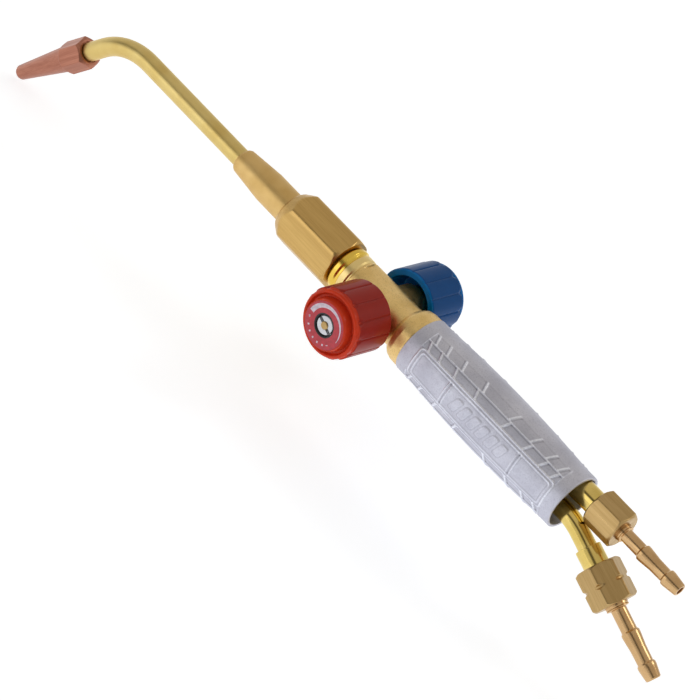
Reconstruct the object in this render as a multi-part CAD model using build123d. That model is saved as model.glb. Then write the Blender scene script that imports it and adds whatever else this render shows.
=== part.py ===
"""Hand torch with an injector mixer, a bent neck, two needle valves and two hose tails.

Frame: +X runs along the handle towards the tip, +Y towards the fuel gas valve, +Z up.
The origin is on the handle's axis, halfway along the handle. All sizes are in millimetres.
"""
import math
import os

from build123d import *

# ---- running fits and gaps ----
SLIDE_GAP = 0.05
THREAD_GAP = 0.08
FACE_GAP = 0.4

# ---- handle ----
HANDLE_HALF = 53.5
HANDLE_END_R = 15.3
HANDLE_MID_R = 16.7
HANDLE_BORE_R = 12.8
HANDLE_BAND = 8.0
HANDLE_ROUND = 1.8
HANDLE_MOUTH_R = 13.8
HANDLE_MOUTH_DEPTH = 9.0

# ---- valve body ----
VALVE_X = 79.5
VALVE_Z = -1.0
BARREL_R = 11.5
BARREL_FLAT_Z = 10.3
FLANGE_R = 14.9
FLANGE_LENGTH = 10.3
SPIGOT_LENGTH = 12.0
SPIGOT_R = HANDLE_BORE_R - SLIDE_GAP
SOCKET_DEPTH = 7.0
SUPPLY_WAY_R = 1.5
BOSS_R = 9.2
BOSS_END = 20.0
COLLAR_X = 103.5
COLLAR_R = 12.0
COLLAR_GROOVE_R = 11.3
UNION_THREAD_R = 9.5
UNION_THREAD_END = 130.0

# ---- needle valves, distances outwards from the torch axis ----
SEAT_OUT = 6.5
SEAT_HOLE_R = 1.1
SEAT_DEPTH = 1.0
CHAMBER_R = 3.8
CHAMBER_END = 15.0
GLAND_BORE_R = 6.0
GLAND_AF = 14.0
GLAND_TOP = 24.0
SPINDLE_THREAD_R = 4.0
SPINDLE_STEM_R = 3.7
SPINDLE_NECK_R = 2.7
SPINDLE_SQUARE = 5.0
SPINDLE_END_R = 2.0
ORING_GROOVE_R = 2.3
ORING_WIRE_R = 0.7
ORING_OUT = 11.2
KNOB_BACK = 15.0
KNOB_WEB = 26.0
KNOB_WEB_THICK = 4.0
KNOB_LOBE_END = 37.8
KNOB_RIM = 40.0
KNOB_FACE = 43.4
KNOB_R = 17.3
KNOB_RIM_R = 16.4
KNOB_GUTTER_DEPTH = 1.8
KNOB_SKIRT_R = 13.9
KNOB_HUB_R = 6.5
KNOB_LOBES = 12
KNOB_FLUTE_R = 4.0
KNOB_FLUTE_DEPTH = 0.8
KNOB_FLUTE_CLOCK = 12.5
KNOB_RECESS_R = 5.65
KNOB_RECESS_FLOOR = 39.8
LABEL_R = 11.7
LABEL_THICK = 0.5
KNOB_NUT_R = 4.9
KNOB_NUT_TOP = 42.9
KNOB_NUT_SLOT = 1.8
KNOB_NUT_SLOT_DEPTH = 1.2
KNOB_NUT_CLOCK = -24.0

# ---- mixer, injector and union nut ----
OXYGEN_WAY_R = 1.5
FUEL_WAY_R = 1.1
FUEL_WAY_Y = 4.5
INJECTOR_BORE_R = 4.05
INJECTOR_BORE_X = 104.0
MIXER_BORE_R = 6.05
MIXER_BORE_X = 116.0
INJECTOR_START = 105.0
INJECTOR_JET_R = 0.5
MIXER_STEP_X = 118.0
MIXER_FLANGE_END = 134.0
MIXER_FLANGE_R = 9.3
MIXER_R = 8.4
MIXER_CONE_X = 167.0
MIXER_NOSE_R = 6.6
MIXER_END = 187.8
MIXER_GROOVE_X = 123.0
INJECTOR_GROOVE_X = 110.0
INJECTOR_SEAT_R = 3.2
MIXER_THROAT_R = 1.6
INJECTOR_END = 127.6
UNION_NUT_REAR = 109.5
UNION_NUT_FRONT = 149.5
UNION_NUT_AF = 27.0
UNION_NUT_TURNED_R = 15.0
UNION_NUT_CLOCK = 38.5
UNION_NUT_BORE_R = UNION_THREAD_R + THREAD_GAP

# ---- neck and tip ----
NECK_R = 4.95
NECK_BORE_R = 3.5
NECK_START = 173.0
NECK_CORNER_X = 279.5
NECK_ANGLE = 50.5
NECK_BEND_R = 38.0
TIP_REAR = 28.2
TIP_SOCKET = 9.0
TIP_MOUTH = 1.2
TIP_AF = 15.0
TIP_CLOCK = 33.6
TIP_TURNED_R = 8.5
TIP_HEX_LENGTH = 16.0
TIP_LENGTH = 53.5
TIP_CONE_R = 6.8
TIP_END_R = 3.9
TIP_ORIFICE_R = 1.0

# ---- tubes and hose fittings ----
OXYGEN_TUBE_YZ = (-2.9, 6.75)
FUEL_TUBE_YZ = (0.2, -6.1)
OXYGEN_TUBE_R = 4.0
FUEL_TUBE_R = 4.75
TUBE_WALL = 1.2
FUEL_BEND_X = -58.6
FUEL_BEND_ANGLE = 21.3
FUEL_BEND_R = 34.0
FUEL_SLEEVE_START = 14.0
FUEL_SLEEVE_LENGTH = 9.0
TUBE_SOCKET = 6.0
FUEL_NUT_CLOCK = -20.4
OXYGEN_SLEEVE_X = -48.0
OXYGEN_NUT_X = -63.0
OXYGEN_NUT_CLOCK = 11.5
BARB_LAND = 1.4
BARB_LENGTH = 8.0
INLET_WAY_R = 2.0
CONE_SEAT_R = 4.0


def axial(point, direction, clock_from=None):
    """A plane whose Z axis leaves the point along the direction. Clock angles count from its X axis."""
    return Plane(origin=point, x_dir=clock_from, z_dir=direction)


def turned(profile):
    """A turned solid about Z from (distance along Z, radius) points."""
    outline = Polyline(*[(radius, 0, along) for along, radius in profile], close=True)
    return revolve(make_face(outline), axis=Axis.Z)


def rod(start, end, radius):
    """A straight round rod between two points."""
    path = Vector(*end) - Vector(*start)
    cylinder = Cylinder(radius, path.length, align=(Align.CENTER, Align.CENTER, Align.MIN))
    return axial(start, path) * cylinder


def torus(along, radius, wire):
    """An O-ring about Z."""
    return Pos(0, 0, along) * Torus(radius, wire)


def hexagon(across_flats, start, length, clock=0.0):
    """A hexagonal bar about Z. The clock angle turns it about its axis."""
    outline = RegularPolygon(across_flats / 2, 6, major_radius=False, rotation=clock)
    return Pos(0, 0, start) * extrude(outline, amount=length)


def chamfered_bar(start, end, radius, chamfer):
    """A turned bar with both ends chamfered, from which a hexagon gets its corners."""
    side = radius - chamfer
    rise = chamfer * math.tan(math.radians(30))
    return turned([
        (start, 0), (start, side), (start + rise, radius), (end - rise, radius), (end, side), (end, 0),
    ])


# Directions and places that several pieces share.
AHEAD = axial((0, 0, 0), (1, 0, 0), (0, 1, 0))
NECK_TURN = math.radians(NECK_ANGLE)
TIP_DIR = (math.cos(NECK_TURN), 0, -math.sin(NECK_TURN))
NECK_CORNER = Vector(NECK_CORNER_X, 0, 0)
TIP_PLANE = axial(NECK_CORNER + Vector(*TIP_DIR) * TIP_REAR, TIP_DIR, (0, 1, 0))

FUEL_TURN = math.radians(FUEL_BEND_ANGLE)
FUEL_DIR = (-math.cos(FUEL_TURN), 0, -math.sin(FUEL_TURN))
FUEL_CORNER = Vector(FUEL_BEND_X, *FUEL_TUBE_YZ)
OXYGEN_PLANE = axial((OXYGEN_NUT_X, *OXYGEN_TUBE_YZ), (-1, 0, 0), (0, 1, 0))
FUEL_NUT_PLANE = axial(FUEL_CORNER + Vector(*FUEL_DIR) * (FUEL_SLEEVE_START + FUEL_SLEEVE_LENGTH), FUEL_DIR,
                       (0, 1, 0))


def valve_plane(side):
    """The valve's axis, outwards from the torch axis: side is 1 for fuel, -1 for oxygen."""
    return axial((VALVE_X, 0, VALVE_Z), (0, side, 0), (1, 0, 0))


# ---- handle and valve body ----

def handle():
    end_x = HANDLE_HALF
    band_x = end_x - HANDLE_BAND
    mouth_x = -end_x + HANDLE_MOUTH_DEPTH
    round_mid = HANDLE_ROUND * (1 - math.sqrt(0.5))
    rear_edge = HANDLE_END_R - HANDLE_ROUND
    profile = Polyline((mouth_x, HANDLE_BORE_R), (mouth_x, HANDLE_MOUTH_R), (-end_x + 0.3, HANDLE_MOUTH_R),
                       (-end_x, rear_edge))
    profile += ThreePointArc((-end_x, rear_edge), (-end_x + round_mid, HANDLE_END_R - round_mid),
                             (-end_x + HANDLE_ROUND, HANDLE_END_R))
    profile += Line((-end_x + HANDLE_ROUND, HANDLE_END_R), (-band_x, HANDLE_END_R))
    profile += ThreePointArc((-band_x, HANDLE_END_R), (0, HANDLE_MID_R), (band_x, HANDLE_END_R))
    profile += Polyline((band_x, HANDLE_END_R), (end_x, HANDLE_END_R), (end_x, HANDLE_BORE_R),
                        (mouth_x, HANDLE_BORE_R))
    return revolve(make_face(profile), axis=Axis.X)


def barrel():
    flange_front = HANDLE_HALF + FLANGE_LENGTH
    outer = turned([
        (HANDLE_HALF - SPIGOT_LENGTH, 0),
        (HANDLE_HALF - SPIGOT_LENGTH, SPIGOT_R - 0.5),
        (HANDLE_HALF - SPIGOT_LENGTH + 0.5, SPIGOT_R),
        (HANDLE_HALF, SPIGOT_R),
        (HANDLE_HALF, FLANGE_R - 0.2),
        (HANDLE_HALF + 0.2, FLANGE_R),
        (flange_front - 5.0, FLANGE_R),
        (flange_front - 2.4, FLANGE_R - 0.7),
        (flange_front - 0.8, FLANGE_R - 1.9),
        (flange_front, BARREL_R),
        (COLLAR_X - 5.5, BARREL_R),
        (COLLAR_X - 4.5, BARREL_R - 0.6),
        (COLLAR_X - 3.8, BARREL_R - 0.6),
        (COLLAR_X - 3.2, BARREL_R + 0.1),
        (COLLAR_X, BARREL_R + 0.1),
        (COLLAR_X, COLLAR_GROOVE_R),
        (COLLAR_X + 1.2, COLLAR_GROOVE_R),
        (COLLAR_X + 2.0, COLLAR_R),
        (UNION_NUT_REAR - FACE_GAP - 1.2, COLLAR_R),
        (UNION_NUT_REAR - FACE_GAP, COLLAR_R - 1.2),
        (UNION_NUT_REAR - FACE_GAP, UNION_THREAD_R),
        (UNION_THREAD_END - 0.8, UNION_THREAD_R),
        (UNION_THREAD_END, UNION_THREAD_R - 0.8),
        (UNION_THREAD_END, 0),
    ])
    flat_start = HANDLE_HALF + FLANGE_LENGTH + 1.0
    flat_length = COLLAR_X - 6.0 - flat_start
    flat = Pos(flat_start + flat_length / 2, 0, BARREL_FLAT_Z + 5) * Box(flat_length, 30, 10)
    return AHEAD * outer - flat


def valve_bosses():
    across = turned([(-BOSS_END, 0), (-BOSS_END, BOSS_R - 0.8), (-BOSS_END + 0.8, BOSS_R),
                     (BOSS_END - 0.8, BOSS_R), (BOSS_END, BOSS_R - 0.8), (BOSS_END, 0)])
    return valve_plane(1) * across


def valve_bores(side):
    """Seat hole, gas chamber and gland thread of one valve."""
    inner = 0 if side < 0 else FUEL_WAY_Y
    cut = turned([
        (inner, 0), (inner, SEAT_HOLE_R), (SEAT_OUT, SEAT_HOLE_R),
        (SEAT_OUT + SEAT_DEPTH, SEAT_HOLE_R + SEAT_DEPTH), (SEAT_OUT + SEAT_DEPTH, CHAMBER_R),
        (CHAMBER_END, CHAMBER_R), (CHAMBER_END, GLAND_BORE_R), (BOSS_END, GLAND_BORE_R), (BOSS_END, 0),
    ])
    return valve_plane(side) * cut


def supply_bores(side, tube_yz, tube_radius):
    """Socket for a supply tube and the drilling from it to the valve chamber."""
    rear_x = HANDLE_HALF - SPIGOT_LENGTH
    socket = rod((rear_x, *tube_yz), (rear_x + SOCKET_DEPTH, *tube_yz), tube_radius)
    chamber = (VALVE_X, side * (SEAT_OUT + 3), VALVE_Z)
    drilling = rod((rear_x + SOCKET_DEPTH - 1, *tube_yz), chamber, SUPPLY_WAY_R)
    return socket + drilling


def valve_body():
    body = barrel() + valve_bosses()
    body -= valve_bores(1) + valve_bores(-1)
    body -= supply_bores(1, FUEL_TUBE_YZ, FUEL_TUBE_R)
    body -= supply_bores(-1, OXYGEN_TUBE_YZ, OXYGEN_TUBE_R)
    body -= rod((VALVE_X, 0, 0), (INJECTOR_BORE_X, 0, 0), OXYGEN_WAY_R)
    body -= rod((VALVE_X - 1, FUEL_WAY_Y, VALVE_Z), (MIXER_BORE_X, FUEL_WAY_Y, VALVE_Z), FUEL_WAY_R)
    body -= rod((INJECTOR_BORE_X, 0, 0), (MIXER_BORE_X, 0, 0), INJECTOR_BORE_R)
    body -= rod((MIXER_BORE_X, 0, 0), (UNION_THREAD_END, 0, 0), MIXER_BORE_R)
    return body


# ---- needle valves ----

def gland_nut(side):
    shank_start = CHAMBER_END + 0.3
    shank = turned([(shank_start, 0), (shank_start, GLAND_BORE_R), (BOSS_END, GLAND_BORE_R), (BOSS_END, 0)])
    head = hexagon(GLAND_AF, BOSS_END, GLAND_TOP - BOSS_END)
    head &= chamfered_bar(BOSS_END, GLAND_TOP, GLAND_AF / 2 + 1.0, 0.9)
    bore = turned([(shank_start, 0), (shank_start, SPINDLE_THREAD_R + SLIDE_GAP),
                   (GLAND_TOP, SPINDLE_THREAD_R + SLIDE_GAP), (GLAND_TOP, 0)])
    return valve_plane(side) * (shank + head - bore)


def spindle(side):
    groove_start = ORING_OUT - ORING_WIRE_R - SLIDE_GAP
    groove_end = ORING_OUT + ORING_WIRE_R + SLIDE_GAP
    square_start = KNOB_WEB - SLIDE_GAP
    square_end = KNOB_RECESS_FLOOR - 0.3
    needle_start = SEAT_OUT - 0.6
    needle_end = SEAT_OUT + 1.6
    stem_end = KNOB_NUT_TOP + 0.6
    stem = turned([
        (needle_start, 0), (needle_start, 0.4), (needle_end, 2.4), (needle_end, SPINDLE_NECK_R),
        (groove_start, SPINDLE_NECK_R), (groove_start, ORING_GROOVE_R), (groove_end, ORING_GROOVE_R),
        (groove_end, SPINDLE_STEM_R), (CHAMBER_END - 0.5, SPINDLE_STEM_R),
        (CHAMBER_END + 1.0, SPINDLE_THREAD_R), (square_start, SPINDLE_THREAD_R),
        (square_start, SPINDLE_END_R), (stem_end - 0.3, SPINDLE_END_R), (stem_end, SPINDLE_END_R - 0.3),
        (stem_end, 0),
    ])
    square = Pos(0, 0, square_start) * Box(SPINDLE_SQUARE, SPINDLE_SQUARE, square_end - square_start,
                                           align=(Align.CENTER, Align.CENTER, Align.MIN))
    return valve_plane(side) * (stem + square)


def spindle_o_ring(side):
    middle = (ORING_GROOVE_R + CHAMBER_R) / 2
    return valve_plane(side) * torus(ORING_OUT, middle, ORING_WIRE_R)


def knob(side):
    label_seat = KNOB_FACE - LABEL_THICK
    gutter = KNOB_RIM - KNOB_GUTTER_DEPTH
    web_front = KNOB_WEB + KNOB_WEB_THICK
    blank = turned([
        (KNOB_BACK, KNOB_SKIRT_R), (KNOB_BACK, KNOB_R - 0.9), (KNOB_BACK + 0.9, KNOB_R),
        (KNOB_LOBE_END, KNOB_R), (KNOB_LOBE_END + 0.4, KNOB_RIM_R), (KNOB_RIM - 0.5, KNOB_RIM_R),
        (KNOB_RIM, KNOB_RIM_R - 0.5), (KNOB_RIM, KNOB_RIM_R - 1.7), (gutter, KNOB_RIM_R - 2.3),
        (gutter, LABEL_R + 1.0), (KNOB_FACE - 0.3, LABEL_R + 0.6), (KNOB_FACE, LABEL_R + 0.3),
        (KNOB_FACE, LABEL_R + SLIDE_GAP), (label_seat, LABEL_R + SLIDE_GAP), (label_seat, KNOB_RECESS_R),
        (KNOB_RECESS_FLOOR, KNOB_RECESS_R), (KNOB_RECESS_FLOOR, 1.0), (KNOB_WEB, 1.0),
        (KNOB_WEB, KNOB_HUB_R), (web_front, KNOB_HUB_R), (web_front, KNOB_SKIRT_R),
    ])
    flute_out = KNOB_R + KNOB_FLUTE_R - KNOB_FLUTE_DEPTH
    flute = Cylinder(KNOB_FLUTE_R, KNOB_LOBE_END - KNOB_BACK, align=(Align.CENTER, Align.CENTER, Align.MIN))
    for lobe in range(KNOB_LOBES):
        clock = KNOB_FLUTE_CLOCK + lobe * 360 / KNOB_LOBES
        blank -= Rot(0, 0, clock) * Pos(flute_out, 0, KNOB_BACK) * flute
    hole = SPINDLE_SQUARE + 2 * SLIDE_GAP
    blank -= Pos(0, 0, KNOB_WEB) * Box(hole, hole, 20, align=(Align.CENTER, Align.CENTER, Align.MIN))
    return valve_plane(side) * blank


def knob_label(side):
    start = KNOB_FACE - LABEL_THICK
    inner = KNOB_RECESS_R
    ring = turned([(start, inner), (start, LABEL_R), (KNOB_FACE, LABEL_R), (KNOB_FACE, inner)])
    return valve_plane(side) * ring


def knob_nut(side):
    start = KNOB_RECESS_FLOOR + SLIDE_GAP
    bore_r = SPINDLE_END_R + SLIDE_GAP
    nut = turned([(start, bore_r), (start, KNOB_NUT_R), (KNOB_NUT_TOP - 0.4, KNOB_NUT_R),
                  (KNOB_NUT_TOP, KNOB_NUT_R - 0.4), (KNOB_NUT_TOP, bore_r)])
    slot = Box(3 * KNOB_NUT_R, KNOB_NUT_SLOT, 2 * KNOB_NUT_SLOT_DEPTH)
    nut -= Pos(0, 0, KNOB_NUT_TOP) * Rot(0, 0, KNOB_NUT_CLOCK) * slot
    return valve_plane(side) * nut


# ---- mixer, injector and union nut ----

def mixer_head():
    groove_start = MIXER_GROOVE_X - 1.2
    groove_end = MIXER_GROOVE_X + 1.2
    groove_r = MIXER_BORE_R - 1.6
    tail_r = MIXER_BORE_R - SLIDE_GAP
    outer = turned([
        (MIXER_STEP_X, 0), (MIXER_STEP_X, tail_r), (groove_start, tail_r), (groove_start, groove_r),
        (groove_end, groove_r), (groove_end, tail_r), (UNION_THREAD_END, tail_r),
        (UNION_THREAD_END, MIXER_FLANGE_R), (MIXER_FLANGE_END, MIXER_FLANGE_R),
        (MIXER_FLANGE_END, MIXER_R), (MIXER_CONE_X, MIXER_R), (MIXER_END - 1.2, MIXER_NOSE_R),
        (MIXER_END, MIXER_NOSE_R - 1.0), (MIXER_END, 0),
    ])
    injector_seat = turned([
        (MIXER_STEP_X, 0), (MIXER_STEP_X, INJECTOR_SEAT_R), (INJECTOR_END + 0.4, INJECTOR_SEAT_R),
        (INJECTOR_END + 2.4, MIXER_THROAT_R), (MIXER_CONE_X - 15.0, MIXER_THROAT_R),
        (MIXER_CONE_X - 3.0, NECK_BORE_R), (NECK_START, NECK_BORE_R), (NECK_START, NECK_R),
        (MIXER_END, NECK_R), (MIXER_END, 0),
    ])
    head = AHEAD * (outer - injector_seat)
    for angle in (0, 90, 180, 270):
        head -= Rot(angle, 0, 0) * rod((MIXER_STEP_X - 1, 4.4, 0), (INJECTOR_END - 1.1, 2.2, 0), 0.6)
    return head


def injector():
    groove_start = INJECTOR_GROOVE_X - 1.1
    groove_end = INJECTOR_GROOVE_X + 1.1
    groove_r = INJECTOR_BORE_R - 1.4
    guide_r = INJECTOR_BORE_R - SLIDE_GAP
    guide_end = MIXER_BORE_X - 0.5
    front_r = INJECTOR_SEAT_R - SLIDE_GAP
    outer = turned([
        (INJECTOR_START, 0), (INJECTOR_START, guide_r - 0.55), (INJECTOR_START + 0.6, guide_r),
        (groove_start, guide_r), (groove_start, groove_r), (groove_end, groove_r), (groove_end, guide_r),
        (guide_end, guide_r), (guide_end, front_r), (MIXER_GROOVE_X, front_r), (MIXER_GROOVE_X, 2.2),
        (INJECTOR_END, 1.2), (INJECTOR_END, 0),
    ])
    bore = turned([
        (INJECTOR_START, 0), (INJECTOR_START, OXYGEN_WAY_R), (MIXER_GROOVE_X - 1, OXYGEN_WAY_R),
        (MIXER_GROOVE_X, INJECTOR_JET_R), (INJECTOR_END, INJECTOR_JET_R), (INJECTOR_END, 0),
    ])
    return AHEAD * (outer - bore)


def mixer_o_ring():
    return AHEAD * torus(MIXER_GROOVE_X, MIXER_BORE_R - 0.825, 0.72)


def injector_o_ring():
    return AHEAD * torus(INJECTOR_GROOVE_X, INJECTOR_BORE_R - 0.725, 0.62)


def union_nut():
    blank = hexagon(UNION_NUT_AF, UNION_NUT_REAR, UNION_NUT_FRONT - UNION_NUT_REAR, UNION_NUT_CLOCK)
    blank &= turned([
        (UNION_NUT_REAR, 0), (UNION_NUT_REAR, UNION_NUT_TURNED_R - 1.6),
        (UNION_NUT_REAR + 1.0, UNION_NUT_TURNED_R - 0.5), (UNION_NUT_REAR + 2.0, UNION_NUT_TURNED_R),
        (UNION_NUT_FRONT - 7.0, UNION_NUT_TURNED_R), (UNION_NUT_FRONT - 0.8, UNION_NUT_TURNED_R - 3.8),
        (UNION_NUT_FRONT, UNION_NUT_TURNED_R - 4.6), (UNION_NUT_FRONT, 0),
    ])
    neck_r = MIXER_R + SLIDE_GAP
    bore = turned([
        (UNION_NUT_REAR, 0), (UNION_NUT_REAR, UNION_NUT_BORE_R), (MIXER_FLANGE_END, UNION_NUT_BORE_R),
        (MIXER_FLANGE_END, neck_r), (UNION_NUT_FRONT, neck_r), (UNION_NUT_FRONT, 0),
    ])
    return AHEAD * (blank - bore)


# ---- neck and tip ----

def neck_tube():
    tangent = NECK_BEND_R * math.tan(NECK_TURN / 2)
    bend_start = NECK_CORNER - Vector(tangent, 0, 0)
    end = NECK_CORNER + Vector(*TIP_DIR) * (TIP_REAR + TIP_SOCKET)
    path = Polyline((NECK_START, 0, 0), bend_start)
    bend = TangentArc(bend_start, NECK_CORNER + Vector(*TIP_DIR) * tangent, tangent=(1, 0, 0))
    path += bend
    path += Line(bend @ 1, end)
    section = axial((NECK_START, 0, 0), (1, 0, 0)) * (Circle(NECK_R - 0.01) - Circle(NECK_BORE_R))
    return sweep(section, path=path)


def welding_tip():
    hex_part = hexagon(TIP_AF, 0, TIP_HEX_LENGTH, TIP_CLOCK)
    hex_part &= turned([
        (0, 0), (0, TIP_TURNED_R - 1.8), (1.4, TIP_TURNED_R), (TIP_HEX_LENGTH - 1.6, TIP_TURNED_R),
        (TIP_HEX_LENGTH, TIP_CONE_R), (TIP_HEX_LENGTH, 0),
    ])
    cone_start = TIP_HEX_LENGTH - 0.5
    cone = turned([
        (cone_start, 0), (cone_start, TIP_CONE_R), (cone_start + 2.0, TIP_CONE_R - 0.2),
        (TIP_LENGTH - 1.6, TIP_END_R), (TIP_LENGTH - 0.5, TIP_END_R - 0.6),
        (TIP_LENGTH, TIP_END_R - 1.5), (TIP_LENGTH, 0),
    ])
    mouth_r = NECK_R + 0.5
    bore = turned([
        (0, 0), (0, mouth_r), (TIP_MOUTH, mouth_r), (TIP_MOUTH, NECK_R), (TIP_SOCKET, NECK_R),
        (TIP_SOCKET, NECK_BORE_R), (TIP_LENGTH - 14, NECK_BORE_R - 0.6),
        (TIP_LENGTH - 11, TIP_ORIFICE_R), (TIP_LENGTH, TIP_ORIFICE_R), (TIP_LENGTH, 0),
    ])
    return TIP_PLANE * (hex_part + cone - bore)


# ---- supply tubes and hose fittings ----

def oxygen_tube():
    start_x = HANDLE_HALF - SPIGOT_LENGTH + SOCKET_DEPTH - 1
    start, end = (start_x, *OXYGEN_TUBE_YZ), (OXYGEN_SLEEVE_X - TUBE_SOCKET, *OXYGEN_TUBE_YZ)
    return rod(start, end, OXYGEN_TUBE_R - 0.01) - rod(start, end, OXYGEN_TUBE_R - TUBE_WALL)


def fuel_tube():
    start = Vector(HANDLE_HALF - SPIGOT_LENGTH + SOCKET_DEPTH - 1, *FUEL_TUBE_YZ)
    tangent = FUEL_BEND_R * math.tan(FUEL_TURN / 2)
    bend_start = FUEL_CORNER + Vector(tangent, 0, 0)
    bend_end = FUEL_CORNER + Vector(*FUEL_DIR) * tangent
    path = Polyline(start, bend_start)
    path += TangentArc(bend_start, bend_end, tangent=(-1, 0, 0))
    path += Line(bend_end, FUEL_CORNER + Vector(*FUEL_DIR) * (FUEL_SLEEVE_START + TUBE_SOCKET))
    section = axial(start, (-1, 0, 0)) * (Circle(FUEL_TUBE_R - 0.01) - Circle(FUEL_TUBE_R - TUBE_WALL))
    return sweep(section, path=path)


def inlet_connector(plane, fit, sleeve_start, tube_radius):
    """A brazed-on union: a sleeve over the tube, then the thread and the cone seat inside the nut."""
    seat = fit["seat"]
    outer = turned([
        (sleeve_start, 0), (sleeve_start, fit["sleeve_r"] - 0.5), (sleeve_start + 0.5, fit["sleeve_r"]),
        (0.8, fit["sleeve_r"]), (0.8, fit["thread_r"]), (seat - 0.8, fit["thread_r"]),
        (seat, fit["thread_r"] - 0.8), (seat, 0),
    ])
    socket_end = sleeve_start + TUBE_SOCKET
    bore = turned([
        (sleeve_start, 0), (sleeve_start, tube_radius), (socket_end, tube_radius),
        (socket_end, INLET_WAY_R), (seat - 2.6, INLET_WAY_R), (seat, CONE_SEAT_R), (seat, 0),
    ])
    return plane * (outer - bore)


def hose_nut(plane, fit):
    end = fit["nut_length"]
    turned_r = fit["turned_r"]
    blank = hexagon(fit["across_flats"], 0, end, fit["clock"])
    middle = end / 2
    outline = [(0, 0), (0, turned_r - 1.6), (1.2, turned_r)]
    if fit["notched"]:
        notch_r = turned_r - 1.1
        outline += [(middle - 1.3, turned_r), (middle - 0.4, notch_r), (middle + 0.4, notch_r),
                    (middle + 1.3, turned_r)]
    outline += [(end - 1.2, turned_r), (end, turned_r - 1.6), (end, 0)]
    blank &= turned(outline)
    bore_r = fit["thread_r"] + THREAD_GAP
    flange_end = fit["seat"] + fit["flange"]
    bore = turned([(0, 0), (0, bore_r), (flange_end, bore_r), (flange_end, fit["neck_r"] + SLIDE_GAP),
                   (end, fit["neck_r"] + SLIDE_GAP), (end, 0)])
    return plane * (blank - bore)


def hose_tail(plane, fit):
    """Ball nose on the cone seat, flange, collar, then a barbed stem for the hose."""
    seat, stem, crest = fit["seat"], fit["stem_r"], fit["crest_r"]
    flange_end = seat + fit["flange"]
    collar_end = fit["nut_length"] + 2.2
    outline = [
        (seat - 1.8, 0), (seat - 1.8, 2.35), (seat, 3.75), (seat, fit["thread_r"] - 0.15),
        (flange_end, fit["thread_r"] - 0.15), (flange_end, fit["neck_r"]), (collar_end - 0.4, fit["neck_r"]),
        (collar_end, fit["neck_r"] - 0.5), (collar_end, stem),
    ]
    for barb in fit["barbs"]:
        outline += [(barb - 0.9, stem), (barb, crest), (barb + BARB_LAND, crest),
                    (barb + BARB_LENGTH, stem + 0.1)]
    tail_end = fit["tail_end"]
    outline[-1] = (tail_end - 0.5, stem - 0.1)
    outline += [(tail_end, stem - 0.5), (tail_end, 0)]
    bore = rod((0, 0, seat - 1.8), (0, 0, tail_end), fit["bore_r"])
    return plane * (turned(outline) - bore)


OXYGEN_FITTING = dict(sleeve_r=6.0, thread_r=6.55, seat=9.6, flange=3.2, across_flats=18.0, turned_r=10.2,
                      nut_length=17.2, clock=OXYGEN_NUT_CLOCK, notched=False, neck_r=4.6, stem_r=3.4,
                      crest_r=4.2, bore_r=2.0, barbs=(30.5, 46.4), tail_end=55.0)
FUEL_FITTING = dict(sleeve_r=6.3, thread_r=8.2, seat=9.8, flange=3.2, across_flats=20.0, turned_r=11.4,
                    nut_length=19.5, clock=FUEL_NUT_CLOCK, notched=True, neck_r=5.6, stem_r=3.8,
                    crest_r=4.5, bore_r=2.3, barbs=(33.6, 49.5), tail_end=57.0)

PIECES = {
    "handle": handle,
    "valve_body": valve_body,
    "mixer_head": mixer_head,
    "mixer_o_ring": mixer_o_ring,
    "injector": injector,
    "injector_o_ring": injector_o_ring,
    "union_nut": union_nut,
    "neck_tube": neck_tube,
    "welding_tip": welding_tip,
    "oxygen_tube": oxygen_tube,
    "fuel_tube": fuel_tube,
    "oxygen_inlet": lambda: inlet_connector(OXYGEN_PLANE, OXYGEN_FITTING, OXYGEN_NUT_X - OXYGEN_SLEEVE_X,
                                            OXYGEN_TUBE_R),
    "fuel_inlet": lambda: inlet_connector(FUEL_NUT_PLANE, FUEL_FITTING, -FUEL_SLEEVE_LENGTH, FUEL_TUBE_R),
    "oxygen_hose_nut": lambda: hose_nut(OXYGEN_PLANE, OXYGEN_FITTING),
    "fuel_hose_nut": lambda: hose_nut(FUEL_NUT_PLANE, FUEL_FITTING),
    "oxygen_hose_tail": lambda: hose_tail(OXYGEN_PLANE, OXYGEN_FITTING),
    "fuel_hose_tail": lambda: hose_tail(FUEL_NUT_PLANE, FUEL_FITTING),
}
VALVE_PIECES = {
    "gland_nut": gland_nut,
    "spindle": spindle,
    "spindle_o_ring": spindle_o_ring,
    "knob": knob,
    "knob_label": knob_label,
    "knob_nut": knob_nut,
}
for gas, side in (("fuel", 1), ("oxygen", -1)):
    for name, build_piece in VALVE_PIECES.items():
        PIECES[f"{gas}_{name}"] = lambda build_piece=build_piece, side=side: build_piece(side)

os.makedirs("parts", exist_ok=True)
for name, build_piece in PIECES.items():
    export_step(build_piece(), f"parts/{name}.step")
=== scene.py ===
"""Looks of the hand torch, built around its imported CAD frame."""

import math

import bmesh
import bpy
import numpy as np
from mathutils import Matrix, Vector


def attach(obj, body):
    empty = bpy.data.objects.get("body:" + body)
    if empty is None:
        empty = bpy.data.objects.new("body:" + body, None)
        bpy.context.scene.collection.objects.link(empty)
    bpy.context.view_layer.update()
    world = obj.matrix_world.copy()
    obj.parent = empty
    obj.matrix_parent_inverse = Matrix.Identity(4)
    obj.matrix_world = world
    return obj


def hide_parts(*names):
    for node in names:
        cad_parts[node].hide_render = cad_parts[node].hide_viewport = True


MM = 0.001
BEND_STEP = 1.0
NET_STEPS = 3
NET_PROBE = 0.02
NET_LEAST_STEEPNESS = 0.3

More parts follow.
